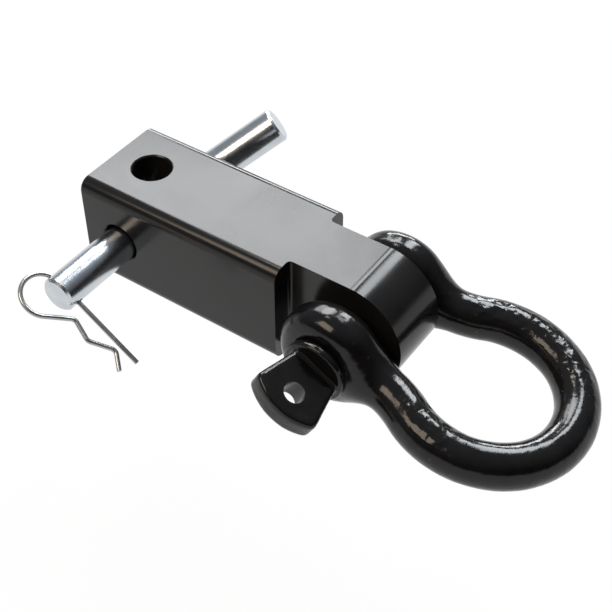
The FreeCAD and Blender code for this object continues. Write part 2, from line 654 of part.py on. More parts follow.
dress(bow, "Chamfer", "bore_rims", bored_bow, edges_where(bored_bow.Shape, at_bore_rim),
      size["bore_rim_chamfer"])
doc.recompute()
bow.Placement = FreeCAD.Placement(FreeCAD.Vector(eye_x.value, -bow_shift.value, -shackle_drop.value),
                                  FreeCAD.Rotation(FreeCAD.Vector(0, 1, 0), bow_sag.value))
bind(bow, "Placement.Base.x", eye_x)
bind(bow, "Placement.Base.y", -bow_shift)
bind(bow, "Placement.Base.z", -shackle_drop)
bind(bow, "Placement.Rotation.Angle", bow_sag)

# The screw pin: a turned shaft with a collar that meets the near eye, a threaded end for
# the far eye, and a head flattened to a paddle with a hole for a turning bar
screw_pin = new_body("shackle_pin")
collar_radius = size["collar_diameter"] / 2
collar_inner = -(eye_outside + size["seat_gap"])
collar_outer = collar_inner - size["collar_thickness"]
thread_start = half_jaw - size["thread_runout"]
pin_tip = eye_outside + size["thread_proud_length"]
thread_radius = size["thread_diameter"] / 2
shaft_profile = new_sketch(screw_pin, "XY_Plane", "shaft_profile")
outline(shaft_profile, "shaft", [
    (0, collar_outer),
    (collar_radius, collar_outer, size["collar_edge_radius"]),
    (collar_radius, collar_inner, size["collar_edge_radius"]),
    (shackle_pin_radius, collar_inner),
    (shackle_pin_radius, thread_start),
    (thread_radius, thread_start),
    (thread_radius, pin_tip - size["thread_end_chamfer"]),
    (thread_radius - size["thread_end_chamfer"], pin_tip),
    (0, pin_tip),
])
shaft = feature(screw_pin, "Revolution", "turned_shaft", shaft_profile, Angle=360,
                ReferenceAxis=(shaft_profile, ["V_Axis"]))

head_plan = new_sketch(screw_pin, "XY_Plane", "head_plan")
head_root = (collar_inner + collar_outer) / 2
head_apex = collar_outer - size["head_length"]
head_centre_y = head_apex + size["head_end_radius"]
half_root = size["head_root_width"] / 2
half_end = size["head_end_width"] / 2
end_drop = math.sqrt(size["head_end_radius"].value ** 2 - half_end.value ** 2)
head_centre = FreeCAD.Vector(0, head_centre_y.value, 0)
left_corner = FreeCAD.Vector(-half_end.value, head_centre_y.value - end_drop, 0)
right_corner = FreeCAD.Vector(half_end.value, head_centre_y.value - end_drop, 0)
left_root = FreeCAD.Vector(-half_root.value, head_root.value, 0)
right_root = FreeCAD.Vector(half_root.value, head_root.value, 0)
head_plan.addGeometry(Part.LineSegment(right_root, left_root), False)
head_plan.addGeometry(Part.LineSegment(left_root, left_corner), False)
end_arc, _ = arc_through(head_centre, left_corner, right_corner)
head_plan.addGeometry(end_arc, False)
head_plan.addGeometry(Part.LineSegment(right_corner, right_root), False)
head_plan.addConstraint(Sketcher.Constraint("Coincident", 0, 2, 1, 1))
head_plan.addConstraint(Sketcher.Constraint("Coincident", 1, 2, 2, 1))
head_plan.addConstraint(Sketcher.Constraint("Coincident", 2, 2, 3, 1))
head_plan.addConstraint(Sketcher.Constraint("Coincident", 3, 2, 0, 1))
head_plan.addConstraint(Sketcher.Constraint("Symmetric", 0, 1, 0, 2, -2))
head_plan.addConstraint(Sketcher.Constraint("Symmetric", 2, 1, 2, 2, -2))
head_plan.addConstraint(Sketcher.Constraint("PointOnObject", 2, 3, -2))
constrain(head_plan, "root_width", "Distance", 0, amount=size["head_root_width"])
constrain(head_plan, "root_level", "DistanceY", 0, 1, -1, 1, amount=-head_root)
constrain(head_plan, "end_radius", "Radius", 2, amount=size["head_end_radius"])
constrain(head_plan, "end_centre", "DistanceY", 2, 3, -1, 1, amount=-head_centre_y)
constrain(head_plan, "end_width", "DistanceX", 2, 1, 2, 2, amount=size["head_end_width"])
head = feature(screw_pin, "Pad", "paddle_head", head_plan, Midplane=True)
bind(head, "Length", size["head_thickness"])
doc.recompute()


def at_head_corner(edge):
    upright = abs(edge.BoundBox.ZLength - edge.Length) < TOUCHING
    full = edge.Length > size["head_thickness"].value / 2
    return upright and full and edge.CenterOfMass.y < head_centre_y.value


corners_rounded = dress(screw_pin, "Fillet", "head_corners", head, edges_where(head.Shape, at_head_corner),
                        size["head_corner_radius"])
doc.recompute()


def at_head_face_rim(edge):
    on_face = abs(abs(edge.CenterOfMass.z) - size["head_thickness"].value / 2) < TOUCHING
    return on_face and edge.CenterOfMass.y < collar_outer.value and not is_circle(edge, collar_radius)


dress(screw_pin, "Fillet", "head_rims", corners_rounded,
      edges_where(corners_rounded.Shape, at_head_face_rim), size["head_edge_radius"])
bar_hole = new_sketch(screw_pin, "XY_Plane", "turning_bar_hole")
circle(bar_hole, "bar", 0, collar_outer - size["head_hole_from_collar"], size["head_hole_diameter"] / 2)
cut_through(screw_pin, "bar_hole", bar_hole)
doc.recompute()
screw_pin.Placement = FreeCAD.Placement(FreeCAD.Vector(eye_x.value, -bow_shift.value, -shackle_drop.value),
                                        FreeCAD.Rotation(FreeCAD.Vector(0, 1, 0), size["head_turn"].value))
bind(screw_pin, "Placement.Base.x", eye_x)
bind(screw_pin, "Placement.Base.y", -bow_shift)
bind(screw_pin, "Placement.Base.z", -shackle_drop)
bind(screw_pin, "Placement.Rotation.Angle", size["head_turn"])
doc.recompute()

# Every object must have rebuilt, and every piece must be one sound solid, before it is written
for item in doc.Objects:
    if "Invalid" in item.State or "Error" in item.State:
        raise RuntimeError(f"{item.Name} did not rebuild: {item.State}")
os.makedirs("parts", exist_ok=True)
for body in (shank, hitch_pin, clip, bow, screw_pin):
    shape = body.Shape
    if shape.isNull() or not shape.isValid() or len(shape.Solids) != 1:
        raise RuntimeError(f"{body.Label} is not one sound solid")
    shape.exportStep(f"parts/{body.Label}.step")
    print(body.Label, round(shape.Volume), "mm3")
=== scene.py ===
import math

import bmesh
import bpy
import numpy as np
from mathutils import Matrix, Vector, noise


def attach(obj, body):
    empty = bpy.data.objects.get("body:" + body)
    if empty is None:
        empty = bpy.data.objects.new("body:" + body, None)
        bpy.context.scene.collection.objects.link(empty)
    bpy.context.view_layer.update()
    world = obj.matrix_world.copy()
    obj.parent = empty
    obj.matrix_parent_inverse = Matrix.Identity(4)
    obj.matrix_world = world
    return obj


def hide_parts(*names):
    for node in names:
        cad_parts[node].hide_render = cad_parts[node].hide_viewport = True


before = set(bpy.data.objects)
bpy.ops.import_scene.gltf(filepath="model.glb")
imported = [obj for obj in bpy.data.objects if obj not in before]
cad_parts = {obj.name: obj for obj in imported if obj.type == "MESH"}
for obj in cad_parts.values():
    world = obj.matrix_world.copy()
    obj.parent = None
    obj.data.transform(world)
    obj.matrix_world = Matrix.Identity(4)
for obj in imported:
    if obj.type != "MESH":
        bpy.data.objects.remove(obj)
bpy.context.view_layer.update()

# The receiver shank: solid square steel bar with rolled corners, milled down to a round-ended
# tongue and cross-drilled. It is coated in a smooth black finish that is fairly glossy on the
# flats and a little rubbed on the corners.
MM = 0.001


def shader_group(name, inputs, outputs):
    """A node group with named number, colour or vector sockets."""
    group = bpy.data.node_groups.new(name, "ShaderNodeTree")
    for label, kind, value in inputs:
        socket = group.interface.new_socket(label, in_out="INPUT", socket_type="NodeSocket" + kind)
        socket.default_value = value
    for label, kind in outputs:
        group.interface.new_socket(label, in_out="OUTPUT", socket_type="NodeSocket" + kind)
    return group, group.nodes.new("NodeGroupInput"), group.nodes.new("NodeGroupOutput")


def put(tree, kind, links=None, **settings):
    """One node, with its settings, and its inputs either linked or given a value."""
    item = tree.nodes.new("ShaderNode" + kind)
    for key, value in settings.items():
        setattr(item, key, value)
    for key, value in (links or {}).items():
        if isinstance(value, bpy.types.NodeSocket):
            tree.links.new(value, item.inputs[key])
        else:
            item.inputs[key].default_value = value
    return item


def ramp(tree, value, low, high, out_low=0.0, out_high=1.0):
    """The value, spread from one range to another and held at its ends."""
    spread = put(tree, "MapRange", {"Value": value, "From Min": low, "From Max": high,
                                    "To Min": out_low, "To Max": out_high})
    return spread.outputs["Result"]


def joined(tree, operation, first, second=0.0):
    """One Math node between two values."""
    return put(tree, "Math", {0: first, 1: second}, operation=operation).outputs[0]


# Soft blotches and fine grain, as every coat and plating on this object has
mottle, entry, leave = shader_group(
    "surface_mottle",
    [("Blotch Scale", "Float", 60.0), ("Grain Scale", "Float", 900.0)],
    [("Blotch", "Float"), ("Grain", "Float")],
)
place = put(mottle, "TexCoord").outputs["Object"]
blotch = put(mottle, "TexNoise", {"Vector": place, "Scale": entry.outputs["Blotch Scale"],
                                  "Detail": 3.0, "Roughness": 0.55, "Distortion": 0.4})
grain = put(mottle, "TexNoise", {"Vector": place, "Scale": entry.outputs["Grain Scale"],
                                 "Detail": 4.0, "Roughness": 0.6})
mottle.links.new(ramp(mottle, blotch.outputs["Fac"], 0.3, 0.7), leave.inputs["Blotch"])
mottle.links.new(ramp(mottle, grain.outputs["Fac"], 0.25, 0.75), leave.inputs["Grain"])


def new_material(name):
    """An empty material with its shader and output."""
    made = bpy.data.materials.new(name)
    made.use_nodes = True
    tree = made.node_tree
    tree.nodes.clear()
    skin = tree.nodes.new("ShaderNodeBsdfPrincipled")
    out = tree.nodes.new("ShaderNodeOutputMaterial")
    tree.links.new(skin.outputs["BSDF"], out.inputs["Surface"])
    return made, tree, skin


def use_group(tree, group, **values):
    item = tree.nodes.new("ShaderNodeGroup")
    item.node_tree = group
    for key, value in values.items():
        socket = item.inputs[key.replace("_", " ")]
        if isinstance(value, bpy.types.NodeSocket):
            tree.links.new(value, socket)
        else:
            socket.default_value = value
    return item


def tint(tree, mask, first, second):
    """A blend of two colours by a mask."""
    blend = put(tree, "Mix", data_type="RGBA")
    tree.links.new(mask, blend.inputs[0])
    blend.inputs[6].default_value = (*first, 1)
    blend.inputs[7].default_value = (*second, 1)
    return blend.outputs[2]


def relief(tree, skin, height, distance, strength=1.0, under=None):
    """A bump from a height, over another one if given, into the shader's normal."""
    bump = put(tree, "Bump", {"Height": height, "Distance": distance, "Strength": strength})
    if under is not None:
        tree.links.new(under, bump.inputs["Normal"])
    tree.links.new(bump.outputs["Normal"], skin.inputs["Normal"])
    return bump.outputs["Normal"]


def dress(obj, material):
    obj.data.materials.clear()
    obj.data.materials.append(material)


nose_seam = 113.4
seam_half = 0.6
black_coat, tree, skin = new_material("satin_black_coat")
marks = use_group(tree, mottle, Blotch_Scale=34.0, Grain_Scale=1400.0)
tree.links.new(tint(tree, marks.outputs["Blotch"], (0.009, 0.009, 0.0095), (0.015, 0.014, 0.013)),
               skin.inputs["Base Color"])
tree.links.new(ramp(tree, marks.outputs["Blotch"], 0.0, 1.0, 0.15, 0.21), skin.inputs["Roughness"])
spot = put(tree, "SeparateXYZ", {"Vector": put(tree, "TexCoord").outputs["Object"]})
off_seam = joined(tree, "ABSOLUTE", joined(tree, "SUBTRACT", spot.outputs["X"], nose_seam * MM))
seam = joined(tree, "MULTIPLY", ramp(tree, off_seam, 0.0, seam_half * MM, 1.0, 0.0),
              ramp(tree, spot.outputs["Z"], 22 * MM, 24 * MM))
under = relief(tree, skin, seam, -0.07 * MM)
relief(tree, skin, marks.outputs["Grain"], 0.004 * MM, 0.6, under)
skin.inputs["Specular IOR Level"].default_value = 0.29
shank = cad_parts["receiver_shank"]
dress(shank, black_coat)

# The hitch pin: round steel bar, bent once cold past the far side of the shank and plated
# with bright zinc. It is cut square and chamfered at both ends, and drilled for its clip.


def sweep(name, route, radius, sides, ends=0.0):
    """A closed round bar along points, with its two ends chamfered."""
    along = [Vector(point) for point in route]
    headings = []
    for index in range(len(along)):
        before = along[max(index - 1, 0)]
        after = along[min(index + 1, len(along) - 1)]
        headings.append((after - before).normalized())
    side = headings[0].orthogonal().normalized()
    rings = []
    for index, point in enumerate(along):
        side = (side - headings[index] * side.dot(headings[index])).normalized()
        rings.append((point, headings[index], side.copy(), radius))
    if ends:
        first, last = rings[0], rings[-1]
        inner_first = (first[0] + first[1] * ends, *first[1:])
        inner_last = (last[0] - last[1] * ends, *last[1:])
        rings = [(*first[:3], radius - ends), inner_first, *rings[1:-1], inner_last,
                 (*last[:3], radius - ends)]
    mesh = bmesh.new()
    loops = []
    for point, heading, side, reach in rings:
        across = heading.cross(side)
        loop = []
        for step in range(sides):
            angle = 2 * math.pi * step / sides
            outward = side * math.cos(angle) + across * math.sin(angle)
            loop.append(mesh.verts.new(point + outward * reach))
        loops.append(loop)
    for lower, upper in zip(loops, loops[1:]):
        for step in range(sides):
            following = (step + 1) % sides
            mesh.faces.new((lower[step], lower[following], upper[following], upper[step]))
    mesh.faces.new(reversed(loops[0]))
    mesh.faces.new(loops[-1])
    return finish_mesh(name, mesh)


def finish_mesh(name, mesh, sharp=35.0):
    """A smooth-shaded object from a mesh, with its sharp edges kept."""
    bmesh.ops.recalc_face_normals(mesh, faces=mesh.faces)
    for face in mesh.faces:
        face.smooth = True
    data = bpy.data.meshes.new(name)
    mesh.to_mesh(data)
    mesh.free()
    data.set_sharp_from_angle(angle=math.radians(sharp))
    made = bpy.data.objects.new(name, data)
    bpy.context.scene.collection.objects.link(made)
    return made


def settle(obj, sharp=None):
    """The object with its modifiers worked into its mesh."""
    bpy.context.view_layer.update()
    worked = obj.evaluated_get(bpy.context.evaluated_depsgraph_get())
    data = bpy.data.meshes.new_from_object(worked)
    obj.modifiers.clear()
    obj.data = data
    if sharp is not None:
        data.shade_smooth()
        data.set_sharp_from_angle(angle=math.radians(sharp))
    return obj


def cut(obj, tool, sharp=35.0):
    """The object less the tool, which is used up."""
    shave = obj.modifiers.new("cut", "BOOLEAN")
    shave.operation = "DIFFERENCE"
    shave.solver = "EXACT"
    shave.object = tool
    settle(obj, sharp)
    bpy.data.objects.remove(tool)
    return obj


def arc(centre, start, turn, axis, steps):
    """Points from start, turned about an axis through centre."""
    centre, start, axis = Vector(centre), Vector(start), Vector(axis)
    return [centre + Matrix.Rotation(turn * step / steps, 4, axis) @ (start - centre)
            for step in range(steps + 1)]


half_shank = 25.0
pin_radius = 7.95
pin_chamfer = 1.0
pin_drop = 0.5
pin_near = -(half_shank + 40.2)
clip_hole_y = pin_near + 5.2
clip_hole_radius = 2.3
drill_reach = 15.0
elbow_radius = 14.0
elbow_angle = math.radians(52.0)
elbow_y = half_shank - 3.0
leg_length = 39.5
leg_turn = math.radians(44.0)
clip_turn = math.radians(32.72)
elbow = arc((elbow_radius, elbow_y, 0), (0, elbow_y, 0), -elbow_angle, (0, 0, 1), steps=16)
leg_way = Vector((math.sin(elbow_angle), math.cos(elbow_angle), 0))
to_pin = Matrix.Translation((0, 0, -pin_drop)) @ Matrix.Rotation(-leg_turn, 4, "Y")
pin_route = [Vector((0, pin_near, 0)), Vector((0, pin_near * 0.5, 0)), *elbow,
             elbow[-1] + leg_way * leg_length * 0.5, elbow[-1] + leg_way * leg_length]
pin_route = [to_pin @ point * MM for point in pin_route]
pin = sweep("hitch_pin_bar", pin_route, pin_radius * MM, sides=72, ends=pin_chamfer * MM)
clip_way = Vector((-math.cos(clip_turn), 0, math.sin(clip_turn)))
clip_eye = Vector((0, clip_hole_y, -pin_drop))
drill_ends = [(clip_eye + clip_way * reach) * MM for reach in (-drill_reach, drill_reach)]
cut(pin, sweep("clip_drill", drill_ends, clip_hole_radius * MM, sides=32))


def zinc_plate(name, first, second, smoothest, roughest):
    """Bright zinc plating over drawn steel, cloudy and finely grained."""
    made, tree, skin = new_material(name)
    marks = use_group(tree, mottle, Blotch_Scale=90.0, Grain_Scale=2200.0)
    tree.links.new(tint(tree, marks.outputs["Blotch"], first, second), skin.inputs["Base Color"])
    tree.links.new(ramp(tree, marks.outputs["Blotch"], 0.0, 1.0, smoothest, roughest),
                   skin.inputs["Roughness"])
    skin.inputs["Metallic"].default_value = 1.0
    relief(tree, skin, marks.outputs["Grain"], 0.003 * MM, 0.5)
    return made


bright_zinc = zinc_plate("bright_zinc", (0.50, 0.54, 0.58), (0.62, 0.65, 0.67), 0.20, 0.28)
dress(pin, bright_zinc)
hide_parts("hitch_pin")
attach(pin, "hitch")

# The spring clip: one length of hard zinc-plated spring wire, with a straight leg through
# the hole in the pin, a round loop to pull it by, and a waved leg that hugs the pin's end.
wire_radius = 1.05
wire_chamfer = 0.15
crest_gap = 0.55
loop_radius = 9.6
straight_tip = 43.2
bend_radius = 3.0
loop_rise = 4.0
clip_corners = [(12.2, pin_near - wire_radius - crest_gap), (22.5, clip_hole_y - 9.6),
                (33.2, clip_hole_y - 3.1), (40.6, clip_hole_y - 8.8)]
loop_centre = Vector((-loop_rise, clip_hole_y - loop_radius, 0))
to_crest = Vector((*clip_corners[0], 0)) - loop_centre
leaving = math.atan2(to_crest.y, to_crest.x) + math.asin(loop_radius / to_crest.length)
loop_turn = leaving + math.pi
clip_route = [Vector((straight_tip, clip_hole_y, 0)), Vector((20, clip_hole_y, 0))]
clip_route += arc(loop_centre, loop_centre + Vector((0, loop_radius, 0)), loop_turn, (0, 0, 1), steps=48)
corners = [clip_route[-1], *[Vector((*point, 0)) for point in clip_corners]]
for before, corner, after in zip(corners, corners[1:], corners[2:]):
    back = (before - corner).normalized()
    ahead = (after - corner).normalized()
    half = back.angle(ahead) / 2
    start = corner + back * bend_radius / math.tan(half)
    middle = corner + (back + ahead).normalized() * bend_radius / math.sin(half)
    turn = math.pi - 2 * half
    if back.cross(ahead).z > 0:
        turn = -turn
    clip_route += arc(middle, start, turn, (0, 0, 1), steps=10)
clip_route.append(corners[-1])
to_clip = Matrix.Translation((0, 0, -pin_drop)) @ Matrix.Rotation(clip_turn, 4, "Y")
clip_route = [to_clip @ point * MM for point in clip_route]
clip = sweep("clip_wire", clip_route, wire_radius * MM, sides=24, ends=wire_chamfer * MM)
spring_zinc = zinc_plate("spring_wire_zinc", (0.34, 0.35, 0.345), (0.47, 0.475, 0.46), 0.26, 0.36)
dress(clip, spring_zinc)
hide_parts("r_clip")
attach(clip, "clip")

# The shackle bow: a drop-forged steel bar bent to a pear shape, with an eye on each end, and
# dipped in thick gloss black paint that leaves the forging's soft lumps showing.
eye_x = 112.0
drop = 0.6
bow_shift = 1.05
jaw = 16.1
eye_thick = 19.1
eye_radius = 22.5
eye_round = 8.2
rod = 9.45
inside_length = 85.5
inside_radius = 27.2
leg_straight = 16.0
crown_sag = 14.85
sag = math.asin(crown_sag / (inside_length + rod))
crown_radius = inside_radius + rod
crown_x = inside_length + rod - crown_radius
leg_y = jaw + eye_thick / 2
ahead = crown_x - leg_straight
flare_radius = (ahead ** 2 + leg_y ** 2 - crown_radius ** 2) / (2 * (crown_radius - leg_y))
to_shackle = Matrix.Translation(Vector((eye_x, -bow_shift, -drop)))
to_bow = to_shackle @ Matrix.Rotation(sag, 4, "Y")


def lathe(name, profile, sides, sharp=35.0):
    """A closed solid turned about the Y axis from (radius, y) points, from one end to the other."""
    mesh = bmesh.new()
    loops = []
    for reach, level in profile:
        loops.append([mesh.verts.new((reach * math.sin(2 * math.pi * step / sides), level,
                                      reach * math.cos(2 * math.pi * step / sides)))
                      for step in range(sides)])
    for lower, upper in zip(loops, loops[1:]):
        for step in range(sides):
            following = (step + 1) % sides
            mesh.faces.new((lower[step], lower[following], upper[following], upper[step]))
    mesh.faces.new(loops[0])
    mesh.faces.new(reversed(loops[-1]))
    return finish_mesh(name, mesh, sharp)


def rounded(points, steps=8):
    """Profile points with those that carry a third number turned into round corners."""
    made = []
    for index, point in enumerate(points):
        corner = Vector(point[:2])
        if len(point) == 2:
            made.append(corner)
            continue
        back = (Vector(points[index - 1][:2]) - corner).normalized()
        ahead = (Vector(points[index + 1][:2]) - corner).normalized()
        half = back.angle(ahead) / 2
        start = corner + back * point[2] / math.tan(half)
        stop = corner + ahead * point[2] / math.tan(half)
        for step in range(steps + 1):
            share = step / steps
            made.append((start.lerp(corner, share)).lerp(corner.lerp(stop, share), share))
    return made


def forge(name, parts, fine, passes):
    """Several solids joined into one even skin."""
    whole = parts[0]
    whole.name = name
    for other in parts[1:]:
        join = whole.modifiers.new("join", "BOOLEAN")
        join.operation = "UNION"
        join.solver = "EXACT"
        join.object = other
    skin_over = whole.modifiers.new("skin", "REMESH")
    skin_over.mode = "VOXEL"
    skin_over.voxel_size = fine
    skin_over.use_smooth_shade = True
    soften = whole.modifiers.new("soften", "CORRECTIVE_SMOOTH")
    soften.iterations = passes
    soften.factor = 0.6
    soften.use_only_smooth = True
    settle(whole)
    for other in parts[1:]:
        bpy.data.objects.remove(other)
    return whole


def lumps(obj, size, depth):
    """Hollows of up to the given depth, never outwards, at a scale of the given size."""
    shape = bpy.data.textures.new(obj.name + "_lumps", "CLOUDS")
    shape.noise_scale = size
    shape.noise_depth = 2
    press = obj.modifiers.new("lumps", "DISPLACE")
    press.texture = shape
    press.texture_coords = "LOCAL"
    press.strength = depth
    press.mid_level = 1.0
    settle(obj)
    return obj


def place_piece(obj, matrix):
    """Put a piece made in millimetres about its own origin into the frame, in metres."""
    obj.data.transform(Matrix.Scale(MM, 4) @ matrix)
    obj.data.update()
    return obj


flare_centre = Vector((leg_straight, leg_y + flare_radius, 0))
crown_centre = Vector((crown_x, 0, 0))
meeting = crown_centre + (flare_centre - crown_centre).normalized() * crown_radius
flare_turn = math.atan2(meeting.x - leg_straight, flare_centre.y - meeting.y)
far_side = [Vector((0, leg_y, 0)), Vector((leg_straight * 0.5, leg_y, 0))]
far_side += arc(flare_centre, (leg_straight, leg_y, 0), flare_turn, (0, 0, 1), steps=20)
crown_start = math.atan2(meeting.y, meeting.x - crown_x)
crown = arc(crown_centre, meeting, -2 * crown_start, (0, 0, 1), steps=60)
near_side = [Vector((point.x, -point.y, 0)) for point in reversed(far_side)]
bow_line = far_side[:-1] + crown + near_side[1:]
bow_bar = sweep("bow_bar", bow_line, rod, sides=64)
turned_sides = 96
pole = 0.01
eyes = []
for side in (-1, 1):
    outline = rounded([(pole, jaw), (eye_radius, jaw, eye_round),
                       (eye_radius, jaw + eye_thick, eye_round), (pole, jaw + eye_thick)])
    eyes.append(lathe("eye", [(reach, side * level) for reach, level in outline], turned_sides))
bow = forge("bow_forging", [bow_bar, *eyes], fine=0.85, passes=4)


def bow_depth(points):
    """How far each point is outside the die's form: bar and eyes, run together softly."""
    line = np.array([point[:] for point in bow_line])
    start, step = line[:-1], line[1:] - line[:-1]
    offset = points[:, None, :] - start[None]
    share = np.clip((offset * step).sum(2) / (step * step).sum(1), 0, 1)
    bar = np.linalg.norm(offset - share[..., None] * step, axis=2).min(1) - rod
    across = np.hypot(points[:, 0], points[:, 2]) - (eye_radius - eye_round)
    level = np.abs(np.abs(points[:, 1]) - leg_y) - (eye_thick / 2 - eye_round)
    inside = np.minimum(np.maximum(across, level), 0)
    eye = np.hypot(np.maximum(across, 0), np.maximum(level, 0)) + inside - eye_round
    blend = np.maximum(eye_blend - np.abs(bar - eye), 0) / eye_blend
    return np.minimum(bar, eye) - blend * blend * eye_blend / 4


eye_blend = 9.0
spots = np.empty(len(bow.data.vertices) * 3)
bow.data.vertices.foreach_get("co", spots)
spots = spots.reshape(-1, 3)
nudge = 0.05
for _ in range(4):
    depth = bow_depth(spots)
    slope = np.stack([(bow_depth(spots + nudge * way) - depth) / nudge for way in np.eye(3)], 1)
    steepness = np.maximum((slope * slope).sum(1), 0.3)
    spots -= slope * (depth / steepness)[:, None]
bow.data.vertices.foreach_set("co", spots.ravel())
bow.data.update()
lumps(bow, size=14.0, depth=0.35)

# Hollows struck by hammer along the upper side: how deep and wide they are, and where each
# stretch of them begins and is full, in the frame's own millimetres
dent_depth = 0.32
dent_size = 3.7
far_along, far_out = (143, 148), (17, 23)
near_along, near_stop, near_out = (150, 154), (176, 171), (-24, -28)
crown_spot, crown_reach = Vector((203, -10, 1)), (8, 6)
facing_up = (0.70, 0.88)


def held(value, low, high):
    """How far a value has come from one end of a range to the other."""
    return min(1.0, max(0.0, (value - low) / (high - low)))


for vertex in bow.data.vertices:
    spot = to_bow @ vertex.co
    far_part = held(spot.x, *far_along) * held(spot.y, *far_out)
    near_part = held(spot.x, *near_along) * held(spot.x, *near_stop) * held(spot.y, *near_out)
    crown_part = held((spot - crown_spot).length, *crown_reach)
    struck = min(1.0, far_part + near_part + crown_part) * held(vertex.normal.z, *facing_up)
    if struck > 0:
        hollow = held(noise.noise(vertex.co / dent_size), -0.6, 0.6)
        vertex.co -= vertex.normal * dent_depth * hollow * struck
bow.data.update()

# The two bores, which open out past the eyes' faces, where the legs swell out beyond them
clear_bore = 11.7
threaded_bore = 10.9
rim = 36.0
flare = 6.0
flare_end = 41.3
bore_reach = 50.0
near_profile = [(clear_bore + flare, -bore_reach), (clear_bore + flare, -flare_end),
                (clear_bore, -rim), (clear_bore, 0)]
far_profile = [(threaded_bore, 0), (threaded_bore, rim),
               (threaded_bore + flare, flare_end), (threaded_bore + flare, bore_reach)]
cut(bow, lathe("near_bore", near_profile, turned_sides), sharp=None)
cut(bow, lathe("far_bore", far_profile, turned_sides), sharp=50.0)
place_piece(bow, to_bow)

gloss_black, tree, skin = new_material("gloss_black_paint")
marks = use_group(tree, mottle, Blotch_Scale=110.0, Grain_Scale=420.0)
paint = tint(tree, marks.outputs["Blotch"], (0.0045, 0.0045, 0.005), (0.010, 0.009, 0.0085))
# Pale grey specks mixed into the paint's colour are painted glints: they stand in for the tiny sparkles
# of light on the gloss paint
glint_specks = put(tree, "Mix", {0: ramp(tree, marks.outputs["Grain"], 0.88, 1.0)}, data_type="RGBA")
tree.links.new(paint, glint_specks.inputs[6])
glint_specks.inputs[7].default_value = (0.10, 0.10, 0.095, 1)
tree.links.new(glint_specks.outputs[2], skin.inputs["Base Color"])
tree.links.new(ramp(tree, marks.outputs["Grain"], 0.0, 1.0, 0.09, 0.18), skin.inputs["Roughness"])
place = put(tree, "TexCoord").outputs["Object"]
lump_shape = put(tree, "TexNoise", {"Vector": place, "Scale": 110.0, "Detail": 2.0, "Roughness": 0.5})
hammered = put(tree, "TexNoise", {"Vector": place, "Scale": 270.0, "Detail": 0.5, "Distortion": 0.6})
at = put(tree, "SeparateXYZ", {"Vector": place}).outputs
facing = put(tree, "SeparateXYZ", {"Vector": put(tree, "TexCoord").outputs["Normal"]})
on_top = ramp(tree, facing.outputs["Z"], *facing_up)


def along(tree, value, limits):
    """The same climb from one limit to the other as in the mesh, in metres."""
    return ramp(tree, value, limits[0] * MM, limits[1] * MM)


far_stretch = joined(tree, "MULTIPLY", along(tree, at["X"], far_along), along(tree, at["Y"], far_out))
near_stretch = joined(tree, "MULTIPLY", along(tree, at["X"], near_along),
                      along(tree, at["X"], near_stop))
near_stretch = joined(tree, "MULTIPLY", near_stretch, along(tree, at["Y"], near_out))
off_crown = put(tree, "VectorMath", {0: place, 1: crown_spot * MM}, operation="DISTANCE")
stretches = joined(tree, "ADD", far_stretch, near_stretch)
stretches = joined(tree, "ADD", stretches, along(tree, off_crown.outputs["Value"], crown_reach))
patch = joined(tree, "MULTIPLY", stretches, on_top)
dents = joined(tree, "MULTIPLY", hammered.outputs["Fac"], patch)
under = relief(tree, skin, lump_shape.outputs["Fac"], 0.5 * MM, 0.6)
under = relief(tree, skin, dents, 0.45 * MM, 1.0, under)
relief(tree, skin, marks.outputs["Grain"], 0.05 * MM, 0.7, under)
skin.inputs["Specular IOR Level"].default_value = 0.32
dress(bow, gloss_black)
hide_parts("shackle_bow")
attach(bow, "bow")

# The shackle's screw pin: a turned steel shaft with a rolled coarse thread at its far end, a
# collar, and a head hammered flat and drilled for a turning bar. It is painted as the bow is.
shaft_radius = 11.1
collar_in = -(jaw + eye_thick + 0.3)
collar_out = collar_in - 4.5
collar_radius = 14.25
collar_round = 1.5
pin_end = jaw + eye_thick + 1.5
thread_from = jaw - 1.0
head_turn = math.radians(29.0)
to_screw_pin = to_shackle @ Matrix.Rotation(head_turn, 4, "Y")
head_length = 25.5
head_half = 5.25
edge_round = 1.8
end_radius = 24.5
root_half = 10.5
end_half = 15.5
end_centre = collar_out - head_length + end_radius
swing = math.asin(end_half / end_radius)
root_depth = 3.0
edge = [Vector((root_half, collar_out + root_depth))]
for share in range(8, -9, -1):
    turn = swing * share / 8
    edge.append(Vector((end_radius * math.sin(turn), end_centre - end_radius * math.cos(turn))))
edge.append(Vector((-root_half, collar_out + root_depth)))
mesh = bmesh.new()
face = mesh.faces.new([mesh.verts.new((point.x, point.y, -head_half)) for point in edge])
lifted = bmesh.ops.extrude_face_region(mesh, geom=[face])
bmesh.ops.translate(mesh, vec=(0, 0, 2 * head_half),
                    verts=[item for item in lifted["geom"] if isinstance(item, bmesh.types.BMVert)])
paddle = finish_mesh("paddle", mesh)
round_over = paddle.modifiers.new("round", "BEVEL")
round_over.width = edge_round
round_over.segments = 3
round_over.limit_method = "ANGLE"
settle(paddle)
collar = lathe("collar", rounded([(pole, collar_out), (collar_radius, collar_out, collar_round),
                                  (collar_radius, collar_in, collar_round), (pole, collar_in)]),
               turned_sides)
head = forge("pin_head", [paddle, collar], fine=0.5, passes=6)
lumps(head, size=9.0, depth=0.25)
bar_hole_y = collar_out - 15.0
bar_hole_radius = 4.5
drill_ends = [(0, bar_hole_y, -drill_reach), (0, bar_hole_y, drill_reach)]
cut(head, sweep("bar_drill", drill_ends, bar_hole_radius, sides=48), sharp=50.0)
place_piece(head, to_screw_pin)
neck_radius = 9.6
neck_length = 0.6
shaft = lathe("pin_shaft", [(pole, collar_in + pole), (shaft_radius, collar_in + pole),
                            (shaft_radius, thread_from), (neck_radius, thread_from + neck_length),
                            (pole, thread_from + neck_length)], turned_sides)
place_piece(shaft, to_screw_pin)

